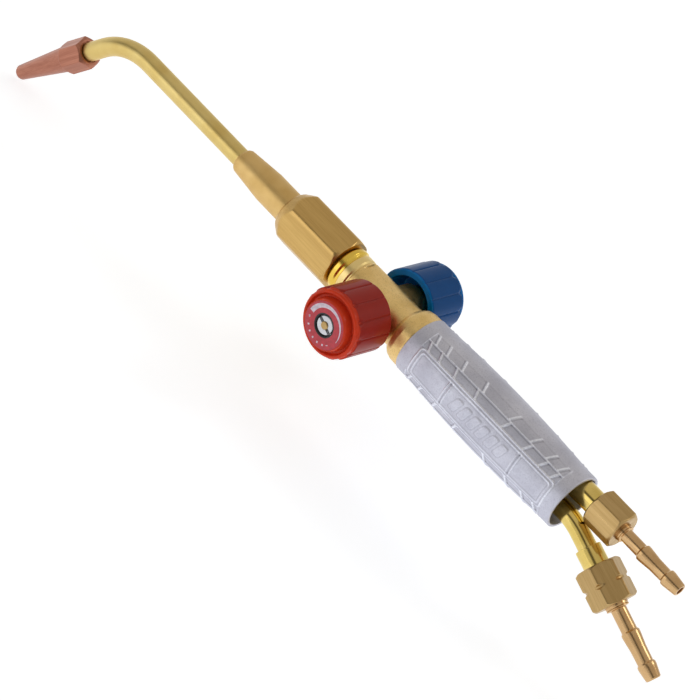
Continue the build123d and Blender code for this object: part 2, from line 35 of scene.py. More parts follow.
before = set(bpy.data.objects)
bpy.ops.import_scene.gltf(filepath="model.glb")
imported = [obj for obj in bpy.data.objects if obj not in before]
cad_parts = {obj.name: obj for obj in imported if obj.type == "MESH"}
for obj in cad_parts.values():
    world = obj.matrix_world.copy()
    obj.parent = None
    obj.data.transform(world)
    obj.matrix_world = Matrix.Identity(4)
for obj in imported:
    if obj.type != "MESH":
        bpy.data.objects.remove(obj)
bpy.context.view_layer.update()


# ---- mesh tools ----

def axis_frame(origin, direction, clock=(0, 1, 0)):
    """A local frame whose Z runs along the direction and whose X is the clock's zero. The origin is in mm."""
    z = Vector(direction).normalized()
    x = Vector(clock)
    x = (x - z * x.dot(z)).normalized()
    matrix = Matrix((x, z.cross(x), z)).transposed().to_4x4()
    matrix.translation = Vector(origin) * MM
    return matrix


def smooth_min(a, b, blend):
    """The lower of two arrays, rounded over where they cross."""
    mix = np.clip(0.5 + 0.5 * (b - a) / blend, 0, 1)
    return b + (a - b) * mix - blend * mix * (1 - mix)


def smooth_step(low, high, value):
    t = np.clip((value - low) / (high - low), 0, 1)
    return t * t * (3 - 2 * t)


def rounded(points, corner=0.15, arc=3):
    """A closed outline of (along, radius[, corner radius]) points with its corners rounded."""
    out = []
    flat = [np.array(p[:2], float) for p in points]
    for i, p in enumerate(points):
        here, before, after = flat[i], flat[i - 1], flat[(i + 1) % len(flat)]
        to_before, to_after = before - here, after - here
        reach_before, reach_after = np.hypot(*to_before), np.hypot(*to_after)
        to_before, to_after = to_before / reach_before, to_after / reach_after
        half = math.acos(float(np.clip(to_before @ to_after, -1, 1))) / 2
        radius = p[2] if len(p) > 2 else corner
        if radius <= 0 or here[1] <= 0 or half > math.radians(87):
            out.append(here)
            continue
        cut = min(radius / math.tan(half), 0.45 * reach_before, 0.45 * reach_after)
        start, end = here + to_before * cut, here + to_after * cut
        for t in np.linspace(0, 1, arc + 1):
            out.append((1 - t) ** 2 * start + 2 * t * (1 - t) * here + t ** 2 * end)
    return np.array(out)


def refined(outline, spacing, low=-1e9, high=1e9, above=0.0):
    """Cuts an outline's runs into short steps where it lies between two places along and above a radius."""
    out = []
    for i, here in enumerate(outline):
        after = outline[(i + 1) % len(outline)]
        out.append(here)
        middle = (here + after) / 2
        overlaps = max(here[0], after[0]) > low and min(here[0], after[0]) < high
        if overlaps and middle[1] > above:
            steps = int(np.hypot(*(after - here)) / spacing)
            out += [here + (after - here) * k / (steps + 1) for k in range(1, steps + 1)]
    return np.array(out)


def new_object(name, vertices, faces, matrix, body, material, nodes=(), attributes=None):
    """A smooth-shaded piece that rides on a body and stands for CAD nodes. Vertices are in mm."""
    if not isinstance(faces, list):
        faces = faces.tolist()
    mesh = bpy.data.meshes.new(name)
    mesh.from_pydata((np.asarray(vertices) * MM).tolist(), [], faces)
    for key, values in (attributes or {}).items():
        mesh.attributes.new(key, "FLOAT", "POINT").data.foreach_set("value", np.asarray(values, np.float32))
    bm = bmesh.new()
    bm.from_mesh(mesh)
    bmesh.ops.remove_doubles(bm, verts=bm.verts, dist=2e-7)
    bmesh.ops.dissolve_degenerate(bm, edges=bm.edges, dist=1e-7)
    bmesh.ops.recalc_face_normals(bm, faces=bm.faces)
    bm.to_mesh(mesh)
    bm.free()
    mesh.shade_smooth()
    mesh.set_sharp_from_angle(angle=math.radians(40))
    mesh.materials.append(material)
    piece = bpy.data.objects.new(name, mesh)
    bpy.context.scene.collection.objects.link(piece)
    piece.matrix_world = matrix
    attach(piece, body)
    if nodes:
        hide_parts(*nodes)
    return piece


def ring_faces(rings, around):
    """Quads of a grid that is closed round each ring, and from its last ring to its first."""
    ring = np.arange(rings)[:, None]
    step = np.arange(around)[None, :]
    after, beside = (ring + 1) % rings, (step + 1) % around
    corners = [ring * around + step, ring * around + beside, after * around + beside, after * around + step]
    return np.stack([np.broadcast_to(c, (rings, around)) for c in corners], -1).reshape(-1, 4)


def lathe(name, matrix, outline, body, material, nodes=(), around=128, shape=None, start=0.0,
          marks=None):
    """A turned piece. The shape maps (along, radius, angle) to (along, radius), and start is in degrees."""
    angle = math.radians(start) + np.arange(around) * 2 * math.pi / around
    along = np.repeat(outline[:, :1], around, 1)
    radius = np.repeat(outline[:, 1:2], around, 1)
    angle = np.repeat(angle[None], len(outline), 0)
    if shape:
        along, radius = shape(along, radius, angle)
    vertices = np.stack([radius * np.cos(angle), radius * np.sin(angle), along], -1).reshape(-1, 3)
    attributes = {key: mark(along, radius, angle).reshape(-1) for key, mark in (marks or {}).items()}
    faces = ring_faces(len(outline), around)
    return new_object(name, vertices, faces, matrix, body, material, nodes, attributes)


def hexagonal(across_flats, clock, blend=0.22):
    """The shape of a turned bar with six milled flats. The clock is the angle of a corner."""
    def shape(along, radius, angle):
        turn = np.mod(angle - math.radians(clock), math.pi / 3) - math.pi / 6
        return along, smooth_min(radius, across_flats / 2 / np.cos(turn), blend)
    return shape


def tube_along(name, centres, outer, inner, body, material, nodes, around):
    """A round tube along a plane curve in XZ, in mm."""
    centres = np.asarray(centres, float)
    along = np.gradient(centres, axis=0)
    along /= np.linalg.norm(along, axis=1)[:, None]
    side = np.array([0.0, 1.0, 0.0])
    up = np.cross(along, side)
    angle = np.arange(around) * 2 * math.pi / around
    spokes = np.cos(angle)[None, :, None] * side + np.sin(angle)[None, :, None] * up[:, None]
    rings = [centres[:, None] + outer * spokes, (centres[:, None] + inner * spokes)[::-1]]
    vertices = np.concatenate(rings).reshape(-1, 3)
    faces = ring_faces(2 * len(centres), around)
    return new_object(name, vertices, faces, Matrix.Identity(4), body, material, nodes)


def bent_path(start, corner, turn, bend_radius, end_reach):
    """Points from the start, round the corner downwards in the XZ plane and on for the end reach past it."""
    start, corner = np.array(start, float), np.array(corner, float)
    ahead = (corner - start) / np.linalg.norm(corner - start)
    down = np.array([0.0, 0.0, -1.0])
    tangent = bend_radius * math.tan(turn / 2)
    leave = ahead * math.cos(turn) + down * math.sin(turn)
    first = corner - ahead * tangent
    centre = first + down * bend_radius
    points = [start + (first - start) * t for t in np.linspace(0, 1, 12)[:-1]]
    for angle in np.linspace(0, turn, max(8, int(bend_radius * turn / BEND_STEP))):
        points.append(centre - down * bend_radius * math.cos(angle) + ahead * bend_radius * math.sin(angle))
    last = corner + leave * tangent
    points += [last + leave * (end_reach - tangent) * t for t in np.linspace(0, 1, 8)[1:]]
    return points


def outline_distance(along, radius, outline):
    """Signed distance to a closed outline of (along, radius) points, below zero inside."""
    outline = np.array(outline, float)
    nearest = np.full(along.shape, np.inf)
    inside = np.zeros(along.shape, bool)
    for start, end in zip(outline, np.roll(outline, -1, 0)):
        edge = end - start
        off_along, off_radius = along - start[0], radius - start[1]
        t = np.clip((off_along * edge[0] + off_radius * edge[1]) / (edge @ edge), 0, 1)
        nearest = np.minimum(nearest, np.hypot(off_along - t * edge[0], off_radius - t * edge[1]))
        if edge[1]:
            crossing = start[0] + off_radius * edge[0] / edge[1] > along
            inside ^= ((start[1] > radius) != (end[1] > radius)) & crossing
    return np.where(inside, -nearest, nearest)


def rod_distance(points, start, end, radius):
    """Signed distance to a round rod with flat ends."""
    start, axis = np.array(start, float), np.array(end, float) - np.array(start, float)
    length = np.linalg.norm(axis)
    axis /= length
    offset = points - start
    along = offset @ axis
    out = np.linalg.norm(offset - along[:, None] * axis, axis=1) - radius
    past = np.abs(along - length / 2) - length / 2
    return np.minimum(np.maximum(out, past), 0) + np.hypot(np.maximum(out, 0), np.maximum(past, 0))


def surface_net(distance, low, high, cell):
    """Vertices and quads where a signed distance is zero, one vertex to each grid cell that it crosses."""
    axes = [np.arange(a, b + cell, cell) for a, b in zip(low, high)]
    grid = np.stack(np.meshgrid(*axes, indexing="ij"), -1)
    value = distance(grid.reshape(-1, 3)).reshape(grid.shape[:3])
    size = np.array(value.shape)
    total, count = np.zeros((*(size - 1), 3)), np.zeros(size - 1)
    edges = []
    for axis in range(3):
        first = [slice(None)] * 3
        second = [slice(None)] * 3
        first[axis], second[axis] = slice(0, -1), slice(1, None)
        a, b = value[tuple(first)], value[tuple(second)]
        crossed = (a < 0) != (b < 0)
        point = grid[tuple(first)].copy()
        point[..., axis] += cell * np.where(crossed, a / np.where(crossed, a - b, 1), 0)
        edges.append(crossed)
        beside = [k for k in range(3) if k != axis]
        for shift in ((0, 0), (0, 1), (1, 0), (1, 1)):
            window = [slice(None)] * 3
            for k, offset in zip(beside, shift):
                window[k] = slice(offset, size[k] - 1 + offset)
            total += point[tuple(window)] * crossed[tuple(window)][..., None]
            count += crossed[tuple(window)]
    used = count > 0
    index = np.cumsum(used).reshape(used.shape) - 1
    vertices = total[used] / count[used][:, None]
    faces = []
    for axis, crossed in enumerate(edges):
        at = np.argwhere(crossed)
        beside = [k for k in range(3) if k != axis]
        at = at[(at[:, beside[0]] > 0) & (at[:, beside[1]] > 0)]
        at = at[(at[:, beside[0]] < size[beside[0]] - 1) & (at[:, beside[1]] < size[beside[1]] - 1)]
        corners = []
        for shift in ((1, 1), (0, 1), (0, 0), (1, 0)):
            cell_at = at.copy()
            cell_at[:, beside[0]] -= shift[0]
            cell_at[:, beside[1]] -= shift[1]
            corners.append(index[tuple(cell_at.T)])
        faces.append(np.stack(corners, -1))
    # Newton steps bring the vertices onto the surface
    for _ in range(NET_STEPS):
        probes = np.eye(3) * NET_PROBE
        slope = np.stack([distance(vertices + probe) - distance(vertices - probe) for probe in probes], -1)
        slope /= 2 * NET_PROBE
        steepness = np.maximum((slope ** 2).sum(1), NET_LEAST_STEEPNESS)
        vertices -= (distance(vertices) / steepness)[:, None] * slope
    return vertices, np.concatenate(faces)


def threaded(low, high, pitch, depth):
    """The shape of a screw thread cut between two places along."""
    def shape(along, radius, angle):
        phase = np.mod(along / pitch - angle / (2 * math.pi), 1.0)
        cut = smooth_step(low, low + pitch / 2, along) * smooth_step(high, high - pitch / 2, along)
        return along, radius - depth * cut * np.clip(1.25 - 2.5 * np.abs(phase - 0.5), 0, 1)
    return shape


# ---- materials ----

# how a noise is stretched into rings about Z
TOOL_RINGS = (25, 25, 5200)


class Shader:
    """A Principled material with procedural colour, roughness and bump."""

    def __init__(self, name, colour, metallic, roughness, **values):
        self.material = bpy.data.materials.new(name)
        self.material.use_nodes = True
        self.nodes = self.material.node_tree.nodes
        self.links = self.material.node_tree.links
        self.shader = self.nodes["Principled BSDF"]
        self.shader.inputs["Metallic"].default_value = metallic
        self.shader.inputs["Roughness"].default_value = roughness
        self.shader.inputs["Base Color"].default_value = (*linear(colour), 1)
        for key, value in values.items():
            self.shader.inputs[key.replace("_", " ")].default_value = value
        self.place = self.nodes.new("ShaderNodeTexCoord").outputs["Object"]
        self.normal = None

    def noise(self, scale, detail=3.0, stretch=(1, 1, 1), rough=0.5):
        mapping = self.nodes.new("ShaderNodeMapping")
        mapping.inputs["Scale"].default_value = stretch
        self.links.new(self.place, mapping.inputs["Vector"])
        noise = self.nodes.new("ShaderNodeTexNoise")
        noise.inputs["Scale"].default_value = scale
        noise.inputs["Detail"].default_value = detail
        noise.inputs["Roughness"].default_value = rough
        self.links.new(mapping.outputs["Vector"], noise.inputs["Vector"])
        return noise.outputs["Fac"]

    def attribute(self, name):
        node = self.nodes.new("ShaderNodeAttribute")
        node.attribute_name = name
        return node.outputs["Fac"]

    def ramp(self, value, low, high, start, end):
        """Maps a value from low..high to start..end, held at both ends."""
        node = self.nodes.new("ShaderNodeMapRange")
        node.inputs["From Min"].default_value = low
        node.inputs["From Max"].default_value = high
        node.inputs["To Min"].default_value = start
        node.inputs["To Max"].default_value = end
        self.links.new(value, node.inputs["Value"])
        return node.outputs["Result"]

    def mix(self, factor, first, second):
        """A colour between two, each a colour or a socket."""
        node = self.nodes.new("ShaderNodeMix")
        *inputs, output = colour_sockets(node)
        self.links.new(factor, node.inputs["Factor"])
        for socket, value in zip(inputs, (first, second)):
            if isinstance(value, tuple):
                socket.default_value = (*linear(value), 1)
            else:
                self.links.new(value, socket)
        return output

    def colour(self, socket):
        self.links.new(socket, self.shader.inputs["Base Color"])

    def roughness(self, socket):
        self.links.new(socket, self.shader.inputs["Roughness"])

    def bump(self, height, depth):
        """Adds a bump of a depth in mm over those already there."""
        node = self.nodes.new("ShaderNodeBump")
        node.inputs["Strength"].default_value = 1.0
        node.inputs["Distance"].default_value = depth * MM
        self.links.new(height, node.inputs["Height"])
        if self.normal:
            self.links.new(self.normal, node.inputs["Normal"])
        self.normal = node.outputs["Normal"]
        self.links.new(self.normal, self.shader.inputs["Normal"])


def colour_sockets(node):
    """Makes a mix node one of colours, and gives its two colour inputs and its colour output."""
    node.data_type = "RGBA"
    return [s for s in (*node.inputs, *node.outputs) if s.type == "RGBA"]


def dimmed(colour, share):
    return tuple(int(c * share) for c in colour)


def linear(colour):
    """An sRGB colour of 0 to 255 values as linear light."""
    scaled = [c / 255 for c in colour]
    return tuple(c / 12.92 if c <= 0.04045 else ((c + 0.055) / 1.055) ** 2.4 for c in scaled)


def turned_metal(name, light, dark, roughness, marks, spread=0.06):
    """Metal straight off a lathe: tool rings about the piece's own Z, handling stains and soft grain."""
    made = Shader(name, light, 1.0, roughness)
    stain = made.noise(90, 4)
    made.colour(made.mix(made.ramp(stain, 0.35, 0.7, 0, 1), light, dark))
    rings = made.noise(1, 2, TOOL_RINGS)
    grain = made.noise(900, 3)
    made.roughness(made.ramp(made.noise(260, 4), 0.3, 0.7, roughness - spread, roughness + spread))
    if marks:
        made.bump(rings, marks)
        made.bump(grain, marks)
    return made.material


def drawn_bar(name, light, dark, roughness):
    """Metal bar stock with drawing lines along the piece's own Z."""
    made = Shader(name, light, 1.0, roughness)
    streaks = made.noise(2600, 3, (1, 1, 0.025), 0.65)
    broad = made.noise(420, 2, (1, 1, 0.05))
    tint = made.mix(made.ramp(broad, 0.3, 0.7, 0, 0.55), light, dark)
    made.colour(made.mix(made.ramp(streaks, 0.42, 0.75, 0, 0.75), tint, dark))
    made.roughness(made.ramp(broad, 0.3, 0.7, roughness - 0.05, roughness + 0.05))
    made.bump(streaks, 0.004)
    return made.material


def blasted_metal(name, light, dark, roughness, grain_scale, depth):
    """Forged or cast metal with a sand-blasted skin."""
    made = Shader(name, light, 1.0, roughness)
    cloud = made.noise(120, 5)
    skin = made.mix(made.ramp(cloud, 0.35, 0.68, 0, 1), light, dark)
    speckle = made.ramp(made.noise(1600, 2, rough=0.7), 0.5, 0.75, 0, 0.6)
    made.colour(made.mix(speckle, skin, dimmed(dark, 0.82)))
    made.roughness(made.ramp(made.noise(420, 4), 0.3, 0.7, roughness - 0.07, roughness + 0.07))
    made.bump(made.noise(grain_scale, 3, rough=0.7), depth)
    made.bump(made.noise(380, 4), depth)
    return made.material


def collar_brass():
    """Polished ring and satin collar of one turned nose, told apart by the satin mark."""
    made = Shader("collar_brass", (246, 214, 100), 1.0, 0.2)
    satin = made.attribute("satin")
    made.colour(made.mix(satin, (236, 200, 88), (238, 212, 144)))
    made.roughness(made.ramp(satin, 0, 1, 0.22, 0.34))
    made.bump(made.noise(1, 2, TOOL_RINGS), 0.002)
    return made.material


def cast_aluminium():
    """Blasted casting, painted brighter on the grip's ridges as highlight and darker in its grooves as shade,
    by the relief mark.
    """
    made = Shader("cast_aluminium", (206, 207, 218), 1.0, 0.52)
    cloud = made.ramp(made.noise(70, 5), 0.35, 0.68, 0, 1)
    base = made.mix(cloud, (210, 211, 223), (193, 194, 207))
    relief = made.attribute("relief")
    # painted highlight: the relief mark lightens the ridges towards near white
    ridge_highlight = made.mix(made.ramp(relief, 0.15, 0.9, 0, 1), base, (242, 245, 255))
    # painted shade: the relief mark darkens the grooves and cells
    groove_shade = made.mix(made.ramp(relief, -0.2, -0.9, 0, 1), ridge_highlight, (132, 132, 142))
    speckle = made.ramp(made.noise(1500, 2, rough=0.7), 0.5, 0.72, 0, 0.5)
    made.colour(made.mix(speckle, groove_shade, (164, 165, 179)))
    made.roughness(made.ramp(made.noise(500, 4), 0.3, 0.7, 0.48, 0.60))
    made.bump(made.noise(1700, 3, rough=0.7), 0.022)
    made.bump(made.noise(500, 4), 0.010)
    return made.material


def knob_plastic(name, skin, rim_highlight):
    """Moulded plastic: a satin, slightly duller skirt and a glossy rim painted in a lighter colour as
    highlight, told apart by the skirt mark.
    """
    made = Shader(name, rim_highlight, 0.0, 0.2, Specular_IOR_Level=0.12, Coat_Weight=0.06, Coat_Roughness=0.1)
    skirt = made.attribute("skirt")
    mottle = made.ramp(made.noise(220, 4), 0.3, 0.7, 0, 0.25)
    made.colour(made.mix(mottle, made.mix(skirt, rim_highlight, skin), dimmed(skin, 0.8)))
    made.roughness(made.ramp(skirt, 0, 1, 0.18, 0.34))
    made.bump(made.noise(1500, 3), 0.004)
    return made.material


def printed(name, colour, roughness=0.35):
    """A printed or rubber surface with a faint mottle."""
    made = Shader(name, colour, 0.0, roughness)
    mottle = made.ramp(made.noise(600, 3), 0.35, 0.7, 0, 1)
    made.colour(made.mix(mottle, colour, dimmed(colour, 0.88)))
    made.bump(made.noise(2500, 2), 0.003)
    return made.material


FORGED = blasted_metal("forged_brass", (244, 212, 146), (228, 194, 124), 0.40, 1500, 0.022)
UNION = drawn_bar("union_brass", (212, 176, 110), (184, 148, 86), 0.32)
TURNED = drawn_bar("nut_brass", (196, 166, 114), (168, 136, 84), 0.32)
MIXER = turned_metal("mixer_brass", (222, 188, 124), (210, 174, 108), 0.46, 0.002)
TAIL = turned_metal("tail_brass", (214, 178, 130), (196, 158, 110), 0.24, 0.001, 0.03)
DRAWN = turned_metal("drawn_brass", (224, 200, 130), (214, 186, 112), 0.38, 0, 0.03)
POLISHED = turned_metal("polished_brass", (232, 206, 124), (214, 186, 100), 0.15, 0.0006, 0.03)
COLLAR = collar_brass()
COPPER = drawn_bar("tip_copper", (190, 130, 108), (152, 96, 78), 0.36)
ZINC = turned_metal("zinc", (206, 208, 212), (180, 182, 188), 0.26, 0.003)
RUBBER = printed("rubber", (26, 26, 27), 0.6)
ALUMINIUM = cast_aluminium()
# each knob's second colour is its rim's painted highlight, a lighter copy of the plastic
KNOBS = {"fuel": knob_plastic("red_plastic", (150, 34, 24), (208, 60, 30)),
         "oxygen": knob_plastic("blue_plastic", (0, 70, 132), (0, 110, 182))}
LABELS = {"fuel": printed("red_label", (190, 48, 62)), "oxygen": printed("blue_label", (38, 92, 168))}
LABEL_SLOTS = {"fuel": "red_label", "oxygen": "blue_label"}
PALE_PRINT = printed("pale_print", (214, 200, 214), 0.3)
DARK_PRINT = printed("dark_print", (22, 20, 22), 0.4)


# ---- places shared with the CAD, in mm ----

NECK_TURN = math.radians(50.5)
NECK_CORNER = (279.5, 0, 0)
NECK_START = 173
NECK_R = 4.95
NECK_BORE_R = 3.5
TIP_REAR = 28.2
TIP_SOCKET = 9.0
TIP_DIR = Vector((math.cos(NECK_TURN), 0, -math.sin(NECK_TURN)))
FUEL_TURN = math.radians(21.3)
FUEL_DIR = Vector((-math.cos(FUEL_TURN), 0, -math.sin(FUEL_TURN)))
FUEL_AXIS = (0.2, -6.1)
FUEL_CORNER = Vector((-58.6, *FUEL_AXIS))
OXYGEN_AXIS = (-2.9, 6.75)
TUBE_START = 47.5
VALVE_X, VALVE_Z = 79.5, -1.0
UNION_THREAD_R = 9.5
UNION_THREAD_END = 130.0
UNION_PITCH = 1.5
INLET_PITCH = 1.337
AHEAD = axis_frame((0, 0, 0), (1, 0, 0))
TIP = axis_frame(Vector(NECK_CORNER) + TIP_DIR * TIP_REAR, TIP_DIR)
OXYGEN = axis_frame((-63, *OXYGEN_AXIS), (-1, 0, 0))
FUEL = axis_frame(FUEL_CORNER + FUEL_DIR * 23, FUEL_DIR)
VALVES = {"fuel": axis_frame((VALVE_X, 0, VALVE_Z), (0, 1, 0), (1, 0, 0)),
          "oxygen": axis_frame((VALVE_X, 0, VALVE_Z), (0, -1, 0), (1, 0, 0))}


# ---- handle ----

HANDLE_HALF = 53.5
HANDLE_END_R = 15.3
HANDLE_MID_R = 16.7
HANDLE_BORE_R = 12.8
MOUTH_X, MOUTH_R = -44.5, 13.8
BAND = 8.0
# the pattern: lengths in mm, and angles in degrees from the middle line of a flank
PATTERN_MIDDLE = 7.0
PATTERN_R = 16.2
RIDGE = 0.45
BEAD = 0.34
PANEL_WALLS = (22.5, -25.1)
PANEL_DEPTH = 0.28
BAR_PITCH = 6.2
BAR_SLANT = 0.35
BARS_REACH = 18.5
ROW_EDGES = (27.5, 46.5, 67.0)
# how far the mark, and so the painted shade, is lowered over each row of cells
ROW_SHADES = (0.08, 0.14)
ROW_REACH = 46.6
CELL_WALLS = (8.9, 23.6, 34.3, 42.0)
CELL_SLANT = 0.13
CELL_DEPTH = 0.50


def bead(distance, width=RIDGE):
    """A thin raised line, one at its middle."""
    return np.exp(-(distance / width) ** 2)


def box_distance(x, y, low_x, high_x, low_y, high_y, corner):
    """Signed distance to a rectangle with rounded corners, below zero inside."""
    out_x = np.abs(x - (low_x + high_x) / 2) - (high_x - low_x) / 2 + corner
    out_y = np.abs(y - (low_y + high_y) / 2) - (high_y - low_y) / 2 + corner
    outside = np.hypot(np.maximum(out_x, 0), np.maximum(out_y, 0))
    return outside + np.minimum(np.maximum(out_x, out_y), 0) - corner


def grip_relief(along, angle, radius):
    """Height in mm and a mark from -1, in a groove, to 1, on a ridge, for the grip's moulded pattern. The
    mark paints shade in the grooves and a highlight on the ridges.
    """
    degrees = np.degrees(angle)
    # the pattern is on both flanks: turn is the angle from the nearer one's middle line, positive upwards
    turn = np.mod(degrees - PATTERN_MIDDLE + 90, 180) - 90
    flank = np.where(np.cos(np.radians(degrees - PATTERN_MIDDLE)) >= 0, 1.0, -1.0)
    turn = turn * flank
    across = np.radians(turn) * radius
    to_mm = math.radians(1) * PATTERN_R
    height = np.zeros_like(along)
    # the mark paints a highlight on each raised line and shade in the groove beside it
    mark = np.zeros_like(along)

    # the long three-part panel, with a double border
    outer = box_distance(along, across, -46.5, 45.5, -28 * to_mm, 27 * to_mm, 2.0)
    inner = box_distance(along, across, -44.8, 43.6, -22.5 * to_mm, 21 * to_mm, 1.6)
    for edge, strength in ((outer, 1.0), (inner, 0.6)):
        height += BEAD * strength * bead(edge)
        mark += strength * bead(edge) - 0.55 * bead(edge + 0.75, 0.4)
    in_panel = smooth_step(0.3, -0.3, inner)
    height -= PANEL_DEPTH * in_panel
    for place in PANEL_WALLS:
        gap = np.abs(along - place)
        wall = bead(gap - 0.95, 0.4)
        height += in_panel * (BEAD * wall)
        mark += in_panel * (0.7 * wall - 0.6 * bead(gap, 0.4))
    # slanted bars in relief in the middle part, each with a raised outline
    slid = along + BAR_SLANT * across + 1.0
    bar = np.mod(slid, BAR_PITCH) - BAR_PITCH / 2
    has_bar = np.abs(slid - bar) < BARS_REACH
    edge = np.where(has_bar, box_distance(bar, across, -1.7, 1.7, -2.9, 2.9, 0.6), 9.0)
    height += 0.14 * smooth_step(0.2, -0.2, edge) + 0.16 * bead(edge, 0.35)
    mark += 0.4 * bead(edge, 0.32) - 0.5 * bead(edge - 0.6, 0.35)

    # two rows of cells each side of the panel
    side = np.abs(turn)
    in_reach = smooth_step(ROW_REACH + 0.3, ROW_REACH - 0.3, np.abs(along))
    for low, high, shade in zip(ROW_EDGES[:-1], ROW_EDGES[1:], ROW_SHADES):
        in_row = smooth_step(low + 0.2, low + 1.4, side) * smooth_step(high - 0.2, high - 1.4, side)
        in_row = in_row * in_reach
        lift = (side - low) / (high - low)
        # each cell slopes down towards the panel
        height += in_row * (-CELL_DEPTH + CELL_DEPTH * lift)
        slant = np.abs(along) - CELL_SLANT * (side - low)
        for place in CELL_WALLS:
            wall = slant - place
            height += in_row * (0.46 * bead(wall, 0.6) - 0.15 * bead(wall - 1.2, 0.5))
            mark += in_row * (1.5 * bead(wall, 0.62) - 0.5 * bead(wall - 1.15, 0.35))
        # painted shade: the mark is lowered over each row's cells, the upper row more
        mark -= in_row * shade
    for edge, strength in zip(ROW_EDGES[1:], (1.0, 0.3)):
        line = (side - edge) * to_mm
        height += in_reach * 0.30 * strength * bead(line, 0.4)
        mark += in_reach * strength * (bead(line, 0.4) - 0.7 * bead(line + 0.8, 0.35))
    end_wall = np.abs(along) - ROW_REACH
    first, last = ROW_EDGES[0], ROW_EDGES[-1]
    in_rows = smooth_step(first, first + 1, side) * smooth_step(last + 1, last, side)
    height += in_rows * 0.30 * bead(end_wall, 0.4)
    mark += in_rows * 0.7 * bead(end_wall, 0.36)
    return height, np.clip(mark, -1, 1)


def handle():
    rear = [(MOUTH_X, HANDLE_BORE_R, 0), (MOUTH_X, MOUTH_R, 0.2), (-HANDLE_HALF, MOUTH_R, 0.4),
            (-HANDLE_HALF, HANDLE_END_R, 1.7)]
    front = [(HANDLE_HALF, HANDLE_END_R, 0.3), (HANDLE_HALF, HANDLE_BORE_R, 0.1)]
    outline = refined(rounded(rear + front, arc=6), 0.33, above=HANDLE_END_R - 0.01)

    def shape(along, radius, angle):
        outside = smooth_step(HANDLE_END_R - 0.6, HANDLE_END_R - 0.1, radius)
        belly = np.clip(1 - (along / (HANDLE_HALF - BAND)) ** 2, 0, 1)
        height, _ = grip_relief(along, angle, radius)
        return along, radius + outside * ((HANDLE_MID_R - HANDLE_END_R) * belly + height)

    def relief(along, radius, angle):
        return grip_relief(along, angle, HANDLE_END_R)[1] * smooth_step(14.4, 14.9, radius)

    lathe("grip", AHEAD, outline, "torch_body", ALUMINIUM, ["handle"], 280, shape,
          marks={"relief": relief})


# ---- valve body ----

BOSS_R, BOSS_END = 9.2, 20.0
BARREL_R = 11.5
BARREL_END = 98.8
SPIGOT_START = 41.5
FLAT_Z = 10.3
FLAT = (64.8, 97.5)
DEEP = -20.0
NET_CELL = 0.42
FORGED_FILLET = 3.0
MILLED_FILLET = 1.2
DRILLED_FILLET = 0.3
OXYGEN_WAY_R = 1.5
FUEL_WAY_R = 1.1
FUEL_WAY_Y = 4.5
SUPPLY_WAY_R = 1.5
SUPPLY_Y = 9.5
SEAT_END, SEAT_R = 7.0, 1.1
CHAMBER_R = 3.85
CHAMBER_END = 15.0
GLAND_BORE_R = 6.08
SOCKET_DEPTH = 7.0
INJECTOR_BORE_X, INJECTOR_BORE_R = 104, 4.05
MIXER_BORE_X, MIXER_BORE_R = 116, 6.05
BARREL_OUTLINE = [
    (SPIGOT_START, DEEP), (SPIGOT_START, 12.2), (42.0, 12.7), (HANDLE_HALF, 12.7), (HANDLE_HALF, 14.7),
    (53.7, 14.9), (58.8, 14.9), (61.4, 14.2), (63.0, 13.0), (64.0, BARREL_R), (98.0, BARREL_R),
    (BARREL_END, 10.95), (BARREL_END, DEEP)]
BOSS_OUTLINE = [
    (DEEP, DEEP), (DEEP, BOSS_R), (BOSS_END - 0.8, BOSS_R), (BOSS_END, BOSS_R - 0.8), (BOSS_END, DEEP)]


def body_drillings():
    """Start, end and radius of each hole in the forged body. Holes that open at a face run past it."""
    past_barrel, past_boss, past_spigot = BARREL_END + 2, BOSS_END + 1, SPIGOT_START - 1
    holes = [((VALVE_X, 0, 0), (past_barrel, 0, 0), OXYGEN_WAY_R),
             ((VALVE_X - 1, FUEL_WAY_Y, VALVE_Z), (past_barrel, FUEL_WAY_Y, VALVE_Z), FUEL_WAY_R)]
    for side, inner, tube_axis, socket_r in ((1, FUEL_WAY_Y, FUEL_AXIS, 4.8), (-1, 0, OXYGEN_AXIS, 4.05)):
        for start, end, radius in ((inner, SEAT_END, SEAT_R), (SEAT_END, CHAMBER_END + 0.2, CHAMBER_R),
                                   (CHAMBER_END, past_boss, GLAND_BORE_R)):
            holes.append(((VALVE_X, side * start, VALVE_Z), (VALVE_X, side * end, VALVE_Z), radius))
        socket_end = SPIGOT_START + SOCKET_DEPTH
        chamber = (VALVE_X, side * SUPPLY_Y, VALVE_Z)
        holes.append(((past_spigot, *tube_axis), (socket_end, *tube_axis), socket_r))
        holes.append(((socket_end - 1, *tube_axis), chamber, SUPPLY_WAY_R))
    return holes


def forging(points):
    """Signed distance to the forged body with its drillings, in mm."""
    x, y, z = points.T
    barrel = outline_distance(x, np.hypot(y, z), BARREL_OUTLINE)
    bosses = outline_distance(np.abs(y), np.hypot(x - VALVE_X, z - VALVE_Z), BOSS_OUTLINE)
    solid = smooth_min(barrel, bosses, FORGED_FILLET)
    milled = np.maximum(np.abs(x - sum(FLAT) / 2) - (FLAT[1] - FLAT[0]) / 2, FLAT_Z - z)
    solid = -smooth_min(-solid, milled, MILLED_FILLET)
    drilled = np.minimum.reduce([rod_distance(points, *hole) for hole in body_drillings()])
    return -smooth_min(-solid, drilled, DRILLED_FILLET)


